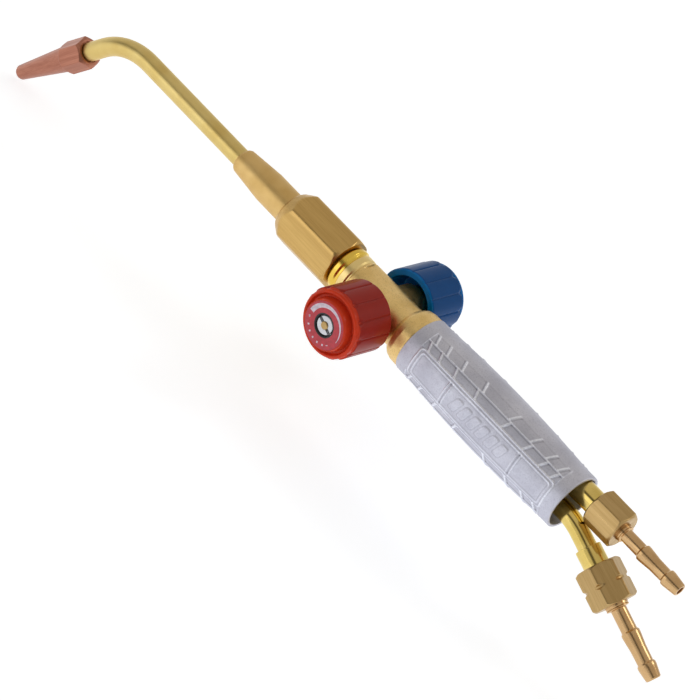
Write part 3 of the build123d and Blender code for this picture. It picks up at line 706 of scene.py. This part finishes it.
def valve_body():
    low = (SPIGOT_START - 1, -BOSS_END - 1, -16)
    high = (BARREL_END + 1, BOSS_END + 1, 16)
    vertices, faces = surface_net(forging, low, high, NET_CELL)
    new_object("valve_body_forged", vertices, faces, Matrix.Identity(4), "torch_body", FORGED,
               ["valve_body"])
    nose = rounded([
        (97.5, OXYGEN_WAY_R, 0), (97.5, 10.7, 0), (99.3, 10.85, 0.3), (99.9, 11.5, 0.4), (103.2, 11.6, 0.4),
        (103.6, 11.1, 0.2), (104.8, 11.1, 0.4), (105.6, 12.0, 0.5), (107.9, 12.0, 0.8), (109.1, 10.8, 0.3),
        (109.1, UNION_THREAD_R, 0.3), (UNION_THREAD_END, UNION_THREAD_R, 0.8),
        (UNION_THREAD_END, MIXER_BORE_R, 0.2), (MIXER_BORE_X, MIXER_BORE_R, 0),
        (MIXER_BORE_X, INJECTOR_BORE_R, 0), (INJECTOR_BORE_X, INJECTOR_BORE_R, 0),
        (INJECTOR_BORE_X, OXYGEN_WAY_R, 0)])
    nose = refined(nose, 0.25, 109.5, UNION_THREAD_END - 0.1, UNION_THREAD_R - 0.3)
    lathe("valve_body_nose", AHEAD, nose, "torch_body", COLLAR, ["valve_body"], 128,
          threaded(109.6, 129.6, UNION_PITCH, 0.7),
          marks={"satin": lambda along, radius, angle: smooth_step(103.5, 103.0, along)})


# ---- nuts, mixer, tip ----

def union_nut():
    front, rear, turned, clock = 149.5, 109.5, 15.0, 38.5
    outline = rounded([
        (rear, 9.58, 0.3), (rear, turned - 1.6), (rear + 1, turned - 0.5, 0.4), (rear + 2, turned, 0.5),
        (front - 7, turned, 0.8), (front - 0.8, turned - 3.8, 0.4), (front, turned - 4.6, 0.3),
        (front, 8.45, 0.2), (134, 8.45, 0), (134, 9.58, 0)])
    outline = refined(refined(outline, 0.3, front - 8, front + 1, 9.0), 0.3, rear - 1, rear + 3.5, 9.8)
    lathe("union_nut_turned", AHEAD, outline, "union", UNION, ["union_nut"], 360,
          hexagonal(27, clock, 0.6), clock)


def mixer():
    outline = rounded([
        (118, 3.2, 0), (118, 6.0), (121.8, 6.0, 0), (121.8, 4.45, 0), (124.2, 4.45, 0), (124.2, 6.0, 0),
        (UNION_THREAD_END, 6.0, 0.1), (UNION_THREAD_END, 9.3), (134, 9.3), (134, 8.4, 0.2), (167, 8.4, 3.0),
        (186.4, 6.7, 0.4), (187.5, 6.1, 0.4), (187.8, 5.4, 0.2), (187.8, NECK_R, 0), (NECK_START, NECK_R, 0),
        (NECK_START, NECK_BORE_R, 0), (164, NECK_BORE_R, 0), (152, 1.6, 0), (UNION_THREAD_END, 1.6, 0),
        (128, 3.2, 0)])
    lathe("mixer_turned", AHEAD, outline, "attachment", MIXER, ["mixer_head"], 128)


def neck():
    path = bent_path((NECK_START, 0, 0), NECK_CORNER, NECK_TURN, 38.0, TIP_REAR + TIP_SOCKET)
    tube_along("neck_drawn", path, 4.94, NECK_BORE_R, "attachment", DRAWN, ["neck_tube"], 96)


def tip():
    length, hex_length, turned, orifice, mouth, clock = 53.5, 16.0, 8.5, 1.0, 5.45, 33.6
    outline = rounded([
        (0, mouth), (0, 6.7, 0.3), (1.4, turned, 0.4), (hex_length - 1.6, turned, 0.4),
        (hex_length, 7.0, 0.3), (hex_length + 0.4, 6.72, 0.3), (hex_length + 1.5, 6.6, 0.5),
        (length - 1.6, 3.9, 0.8), (length - 0.5, 3.3, 0.4), (length, 2.4, 0.4), (length, orifice, 0.15),
        (length - 11, orifice, 0),
        (length - 14, 2.9, 0), (TIP_SOCKET, NECK_BORE_R, 0), (TIP_SOCKET, NECK_R, 0), (1.2, NECK_R, 0),
        (1.2, mouth, 0)])
    outline = refined(refined(outline, 0.25, -1, 2.4, 6.2), 0.25, hex_length - 2.5, hex_length + 1, 6.2)
    lathe("tip_copper_turned", TIP, outline, "attachment", COPPER, ["welding_tip"], 300,
          hexagonal(15, clock, 0.16), clock)


# ---- supply tubes and hose fittings ----

def supply_tubes():
    oxygen = axis_frame((TUBE_START, *OXYGEN_AXIS), (-1, 0, 0))
    length, outer, inner = 101.5, 3.99, 2.8
    outline = rounded([(0, inner, 0), (0, outer), (length, outer), (length, inner, 0)])
    lathe("oxygen_supply", oxygen, outline, "torch_body", POLISHED, ["oxygen_tube"], 80)
    path = bent_path((TUBE_START, FUEL_CORNER.y, FUEL_CORNER.z), FUEL_CORNER, FUEL_TURN, 34.0, 20.0)
    tube_along("fuel_supply", path, 4.74, 3.55, "torch_body", POLISHED, ["fuel_tube"], 80)


def inlet(gas, matrix, start, sleeve, thread, tube, seat):
    """A sleeve brazed over the tube, with a thread and a cone seat inside the nut."""
    way = 2.0
    outline = rounded([
        (start, tube, 0), (start, sleeve, 0.5), (start + 0.9, sleeve, 0.2), (0.8, sleeve, 0.1), (0.8, thread),
        (seat, thread, 0.4), (seat, 4.0), (seat - 2.6, way, 0), (start + 6, way, 0), (start + 6, tube, 0)])
    outline = refined(outline, 0.2, 1.0, seat, thread - 0.1)
    lathe(f"{gas}_inlet_turned", matrix, outline, "torch_body", POLISHED,
          [f"{gas}_inlet"], 96, threaded(1.2, seat, INLET_PITCH, 0.6))


def hose_nut(gas, matrix, across, turned, length, bore, neck, inside, clock, notched):
    """A hexagonal nut, bored up to its inside face and narrower beyond. A notch marks a left-hand one."""
    outline = [(0, bore, 0.2), (0, turned - 1.6, 0.2), (1.2, turned, 0.6)]
    middle, notch = length / 2, turned - 1.1
    if notched:
        outline += [(middle - 1.3, turned, 0.15), (middle - 0.4, notch, 0.1), (middle + 0.4, notch, 0.1),
                    (middle + 1.3, turned, 0.15)]
    outline += [(length - 1.2, turned, 0.6), (length, turned - 1.6, 0.2), (length, neck, 0.2),
                (inside, neck, 0), (inside, bore, 0)]
    outline = refined(rounded(outline), 0.28, above=turned - 2.2)
    lathe(f"{gas}_nut_turned", matrix, outline, f"{gas}_nut", TURNED,
          [f"{gas}_hose_nut"], 300, hexagonal(across, clock), clock)


def hose_tail(gas, matrix, seat, flange, neck, stem, crest, bore, collar, barbs, end):
    """A ball nose on the cone seat, a flange, a grooved collar, then a barbed stem for the hose."""
    nose, flange_end, groove = seat - 1.8, seat + 3.2, neck - 0.22
    outline = [(nose, bore, 0), (nose, 2.35, 0.3), (seat, 3.75, 0.2), (seat, flange), (flange_end, flange),
               (flange_end, neck, 0.1), (collar - 1.3, neck, 0.1), (collar - 1.05, groove, 0.1),
               (collar - 0.8, groove, 0.1), (collar - 0.55, neck, 0.1), (collar - 0.2, neck, 0.3),
               (collar, neck - 0.5, 0.3), (collar + 0.3, stem, 0.3)]
    for barb in barbs:
        outline += [(barb - 0.9, stem, 0.4), (barb, crest, 0.25), (barb + 1.4, crest, 0.5),
                    (barb + 8.0, stem + 0.1, 1.5)]
    outline = outline[:-1] + [(end - 0.5, stem - 0.1, 0.3), (end, stem - 0.5, 0.2), (end, bore, 0.2)]
    lathe(f"{gas}_tail_turned", matrix, rounded(outline, arc=4), f"{gas}_tail", TAIL,
          [f"{gas}_hose_tail"], 112)


# ---- knobs ----

KNOB_R = 17.3
LOBES = 12
FLUTE_CLOCK = 12.5
SPINDLE_HOLE_R = 2.6
FACE = 43.4
LABEL_R = 11.7


def knob(gas):
    outline = rounded([
        (15, 13.9, 0.3), (15, KNOB_R - 0.7, 0.5), (15.7, KNOB_R, 0.9), (37.6, KNOB_R, 0.25),
        (37.95, 16.6, 0.2), (38.3, 16.45, 0.2), (39.4, 16.4, 0.8), (40.0, 15.7, 0.5), (40.0, 14.8, 0.5),
        (38.4, 14.1, 0.4),
        (38.2, 12.9, 0.4), (42.4, 12.45, 0.5), (FACE, 12.1, 0.35), (FACE, 11.75, 0.05), (42.9, 11.75, 0),
        (42.9, 5.65, 0.1), (39.8, 5.65, 0.1), (39.8, SPINDLE_HOLE_R, 0), (26, SPINDLE_HOLE_R, 0),
        (26, 6.5, 0.2), (30, 6.5, 0.5), (30, 13.9, 0.8)], arc=5)
    outline = refined(outline, 0.45, above=15.0)

    def shape(along, radius, angle):
        pitch = 2 * math.pi / LOBES
        from_flute = np.abs(np.mod(angle - math.radians(FLUTE_CLOCK) + pitch / 2, pitch) - pitch / 2)
        crown = 0.16 * (1 - from_flute / (pitch / 2)) ** 2
        near_rim = smooth_step(35.2, 37.4, along)
        width = 0.38 + 0.9 * near_rim
        groove = (0.34 + 0.5 * near_rim) * np.exp(-(from_flute * KNOB_R / width) ** 2)
        on_skirt = smooth_step(16.45, 16.9, radius)
        return along, radius - on_skirt * (crown + groove)

    def skirt(along, radius, angle):
        on_length = smooth_step(37.9, 37.5, along) * smooth_step(15.2, 15.8, along)
        return smooth_step(16.2, 16.7, radius) * on_length

    lathe(f"{gas}_knob_moulded", VALVES[gas], outline, f"{gas}_valve_stem", KNOBS[gas],
          [f"{gas}_knob"], 480, shape, FLUTE_CLOCK, marks={"skirt": skirt})


def print_mark(name, gas, start, end, inner, outer, steps):
    """A thin pale print on a knob's face between two angles in degrees. Each radius may vary by step."""
    angle = np.radians(start + (end - start) * np.linspace(0, 1, steps))
    inside, outside = np.broadcast_to(inner, steps), np.broadcast_to(outer, steps)
    rows = []
    for along in (FACE - 0.02, FACE + 0.04):
        for radius in (inside, outside):
            rows.append(np.stack([radius * np.cos(angle), radius * np.sin(angle), np.full(steps, along)], -1))
    vertices = np.concatenate(rows)
    low_in, low_out, high_in, high_out = (np.arange(steps) + k * steps for k in range(4))
    faces = []
    for a, b in ((high_in, high_out), (high_out, low_out), (low_out, low_in), (low_in, high_in)):
        faces += [(int(a[i]), int(a[i + 1]), int(b[i + 1]), int(b[i])) for i in range(steps - 1)]
    for i in (0, steps - 1):
        faces.append((int(low_in[i]), int(high_in[i]), int(high_out[i]), int(low_out[i])))
    new_object(name, vertices, faces, VALVES[gas], f"{gas}_valve_stem", PALE_PRINT)


def knob_face(gas):
    place, body, slot = VALVES[gas], f"{gas}_valve_stem", LABEL_SLOTS[gas]
    disc = rounded([(42.95, 5.7, 0), (42.95, LABEL_R, 0.05), (FACE, LABEL_R, 0.06), (FACE, 5.7, 0.06)])
    lathe(f"{gas}_label_disc", place, disc, body, LABELS[gas], [f"{gas}_knob_label"], 128)
    collar = rounded([(39.85, 5.15, 0), (39.85, 5.62, 0), (43.35, 5.62, 0), (43.41, 6.0, 0),
                      (43.47, 5.95, 0.03), (43.47, 5.5, 0.2), (42.9, 5.15, 0.1)])
    lathe(f"{gas}_label_ring", place, collar, body, DARK_PRINT, around=96)
    # the open-close wedge runs round half the face and narrows to a point
    at = np.linspace(0, 1, 90)
    print_mark(f"{gas}_label_wedge", gas, -6, -192, 8.1 + 1.8 * at ** 1.2, 10.7 - 0.6 * at, 90)
    for k, clock in enumerate((34, 54, 74, 94, 114)):
        print_mark(f"{gas}_label_tick_{k}", gas, clock, clock + 5, 8.9, 9.9, 6)
    print_mark(f"{gas}_label_plus_bar", gas, 8.5, 15.5, 9.15, 9.55, 8)
    print_mark(f"{gas}_label_minus_bar", gas, 130, 137, 9.15, 9.55, 8)
    print_mark(f"{gas}_label_plus_post", gas, 11.2, 12.8, 8.75, 9.95, 4)


# ---- carried-over CAD nodes ----

def finish_nodes():
    finishes = {"injector": TURNED, "mixer_o_ring": RUBBER, "injector_o_ring": RUBBER}
    for gas in VALVES:
        finishes.update({f"{gas}_gland_nut": TURNED, f"{gas}_spindle": TURNED,
                         f"{gas}_spindle_o_ring": RUBBER, f"{gas}_knob_nut": ZINC})
    for node, material in finishes.items():
        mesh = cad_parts[node].data
        mesh.materials.clear()
        mesh.materials.append(material)


# ---- stage, light and camera ----

FLOOR_Z = -68.0
FLOOR_HALF = 3.0
FLOOR_GLOW = 0.50
TENT_LOW, TENT_HIGH = 0.74, 0.60
TENT_LOW_COLOUR, TENT_HIGH_COLOUR = (1.0, 1.0, 1.0, 1), (1.0, 0.94, 0.85, 1)
# the tent's dark band lies square to GAP_AXIS, on the side that OPEN_SIDE points to
GAP_AXIS = (0, -0.595, 0.804)
OPEN_SIDE = (0, 0.804, 0.595)
GAP_DIM = 0.18
TORCH_MIDDLE = (0.08, 0, 0)
PICTURE_SIDE = 700
FOCAL_PIXELS = 2980
SENSOR_WIDTH = 36
CAMERA_DISTANCE = 1.4
CAMERA_RIGHT = (-0.63322, -0.64781, 0.42352)
CAMERA_BACK = (-0.391, 0.74, 0.5473)


def stage():
    corners = [(-FLOOR_HALF, -FLOOR_HALF, 0), (FLOOR_HALF, -FLOOR_HALF, 0), (FLOOR_HALF, FLOOR_HALF, 0),
               (-FLOOR_HALF, FLOOR_HALF, 0)]
    mesh = bpy.data.meshes.new("floor")
    mesh.from_pydata(corners, [], [(0, 1, 2, 3)])
    floor = bpy.data.objects.new("floor", mesh)
    floor.location = (0, 0, FLOOR_Z * MM)
    bpy.context.scene.collection.objects.link(floor)
    paper = Shader("floor_paper", (240, 246, 255), 0.0, 0.9, Emission_Strength=FLOOR_GLOW,
                   Emission_Color=(1, 1, 1, 1)).material
    mesh.materials.append(paper)


def softbox(name, place, size, power):
    """A square area light aimed at the torch's middle."""
    light = bpy.data.lights.new(name, "AREA")
    light.shape = "RECTANGLE"
    light.size = size
    light.size_y = size
    light.energy = power
    lamp = bpy.data.objects.new(name, light)
    lamp.location = place
    lamp.rotation_mode = "QUATERNION"
    lamp.rotation_quaternion = (Vector(TORCH_MIDDLE) - Vector(place)).to_track_quat("-Z", "Y")
    bpy.context.scene.collection.objects.link(lamp)


def lighting():
    """A light tent, brightest low down and warmer overhead, with a dark band on the photographer's side."""
    world = bpy.data.worlds.new("studio")
    bpy.context.scene.world = world
    world.use_nodes = True
    nodes, links = world.node_tree.nodes, world.node_tree.links
    direction = nodes.new("ShaderNodeTexCoord").outputs["Generated"]

    def along(axis):
        node = nodes.new("ShaderNodeVectorMath")
        node.operation = "DOT_PRODUCT"
        node.inputs[1].default_value = axis
        links.new(direction, node.inputs[0])
        return node.outputs["Value"]

    def step(value, low, high, start, end):
        node = nodes.new("ShaderNodeMapRange")
        node.interpolation_type = "SMOOTHSTEP"
        for key, number in (("From Min", low), ("From Max", high), ("To Min", start), ("To Max", end)):
            node.inputs[key].default_value = number
        links.new(value, node.inputs["Value"])
        return node.outputs["Result"]

    def combine(operation, first, second=None):
        node = nodes.new("ShaderNodeMath")
        node.operation = operation
        links.new(first, node.inputs[0])
        if second:
            links.new(second, node.inputs[1])
        return node.outputs["Value"]

    rise = along((0, 0, 1))
    height = step(rise, 0.0, 0.9, TENT_LOW, TENT_HIGH)
    tint = nodes.new("ShaderNodeMix")
    low_colour, high_colour, tinted = colour_sockets(tint)
    low_colour.default_value = TENT_LOW_COLOUR
    high_colour.default_value = TENT_HIGH_COLOUR
    links.new(step(rise, 0.1, 0.7, 0.0, 1.0), tint.inputs["Factor"])
    links.new(tinted, nodes["Background"].inputs["Color"])
    off_gap = step(combine("ABSOLUTE", along(GAP_AXIS)), 0.08, 0.28, GAP_DIM, 1.0)
    open_side = step(along(OPEN_SIDE), 0.1, 0.4, 0.0, 1.0)
    opening = nodes.new("ShaderNodeMix")
    links.new(open_side, opening.inputs["Factor"])
    opening.inputs["A"].default_value = 1.0
    links.new(off_gap, opening.inputs["B"])
    links.new(combine("MULTIPLY", height, opening.outputs["Result"]), nodes["Background"].inputs["Strength"])
    softbox("low_front", (0.55, 1.0, 0.12), size=0.8, power=1.4)
    softbox("rear_top", (-0.5, -0.6, 0.9), size=0.3, power=1.2)
    bpy.context.scene.view_settings.view_transform = "Standard"


def camera():
    """The photograph's view. Its frame is squared up from the two fitted directions."""
    back = Vector(CAMERA_BACK).normalized()
    right = Vector(CAMERA_RIGHT)
    right = (right - back * right.dot(back)).normalized()
    up = back.cross(right)
    data = bpy.data.cameras.new("view")
    data.lens = FOCAL_PIXELS / PICTURE_SIDE * SENSOR_WIDTH
    data.sensor_width = SENSOR_WIDTH
    data.clip_end = 20
    eye = bpy.data.objects.new("view", data)
    eye.matrix_world = Matrix((right, up, back)).transposed().to_4x4()
    eye.location = back * CAMERA_DISTANCE - right * 0.016255 - up * 0.020107 + Vector(TORCH_MIDDLE)
    bpy.context.scene.collection.objects.link(eye)
    bpy.context.scene.camera = eye


handle()
valve_body()
union_nut()
mixer()
neck()
tip()
supply_tubes()
inlet("oxygen", OXYGEN, start=-15.0, sleeve=6.0, thread=6.55, tube=4.0, seat=9.6)
inlet("fuel", FUEL, start=-9.0, sleeve=6.3, thread=8.2, tube=4.75, seat=9.8)
hose_nut("oxygen", OXYGEN, across=18.0, turned=10.2, length=17.2, bore=6.63, neck=4.65, inside=12.8,
         clock=11.5, notched=False)
hose_nut("fuel", FUEL, across=20.0, turned=11.4, length=19.5, bore=8.28, neck=5.65, inside=13.0,
         clock=-20.4, notched=True)
hose_tail("oxygen", OXYGEN, seat=9.6, flange=6.4, neck=4.6, stem=3.4, crest=4.2, bore=2.0, collar=19.4,
          barbs=(30.5, 46.4), end=55.0)
hose_tail("fuel", FUEL, seat=9.8, flange=8.05, neck=5.6, stem=3.8, crest=4.5, bore=2.3, collar=21.7,
          barbs=(33.6, 49.5), end=57.0)
for gas in VALVES:
    knob(gas)
    knob_face(gas)
finish_nodes()
stage()
lighting()
camera()
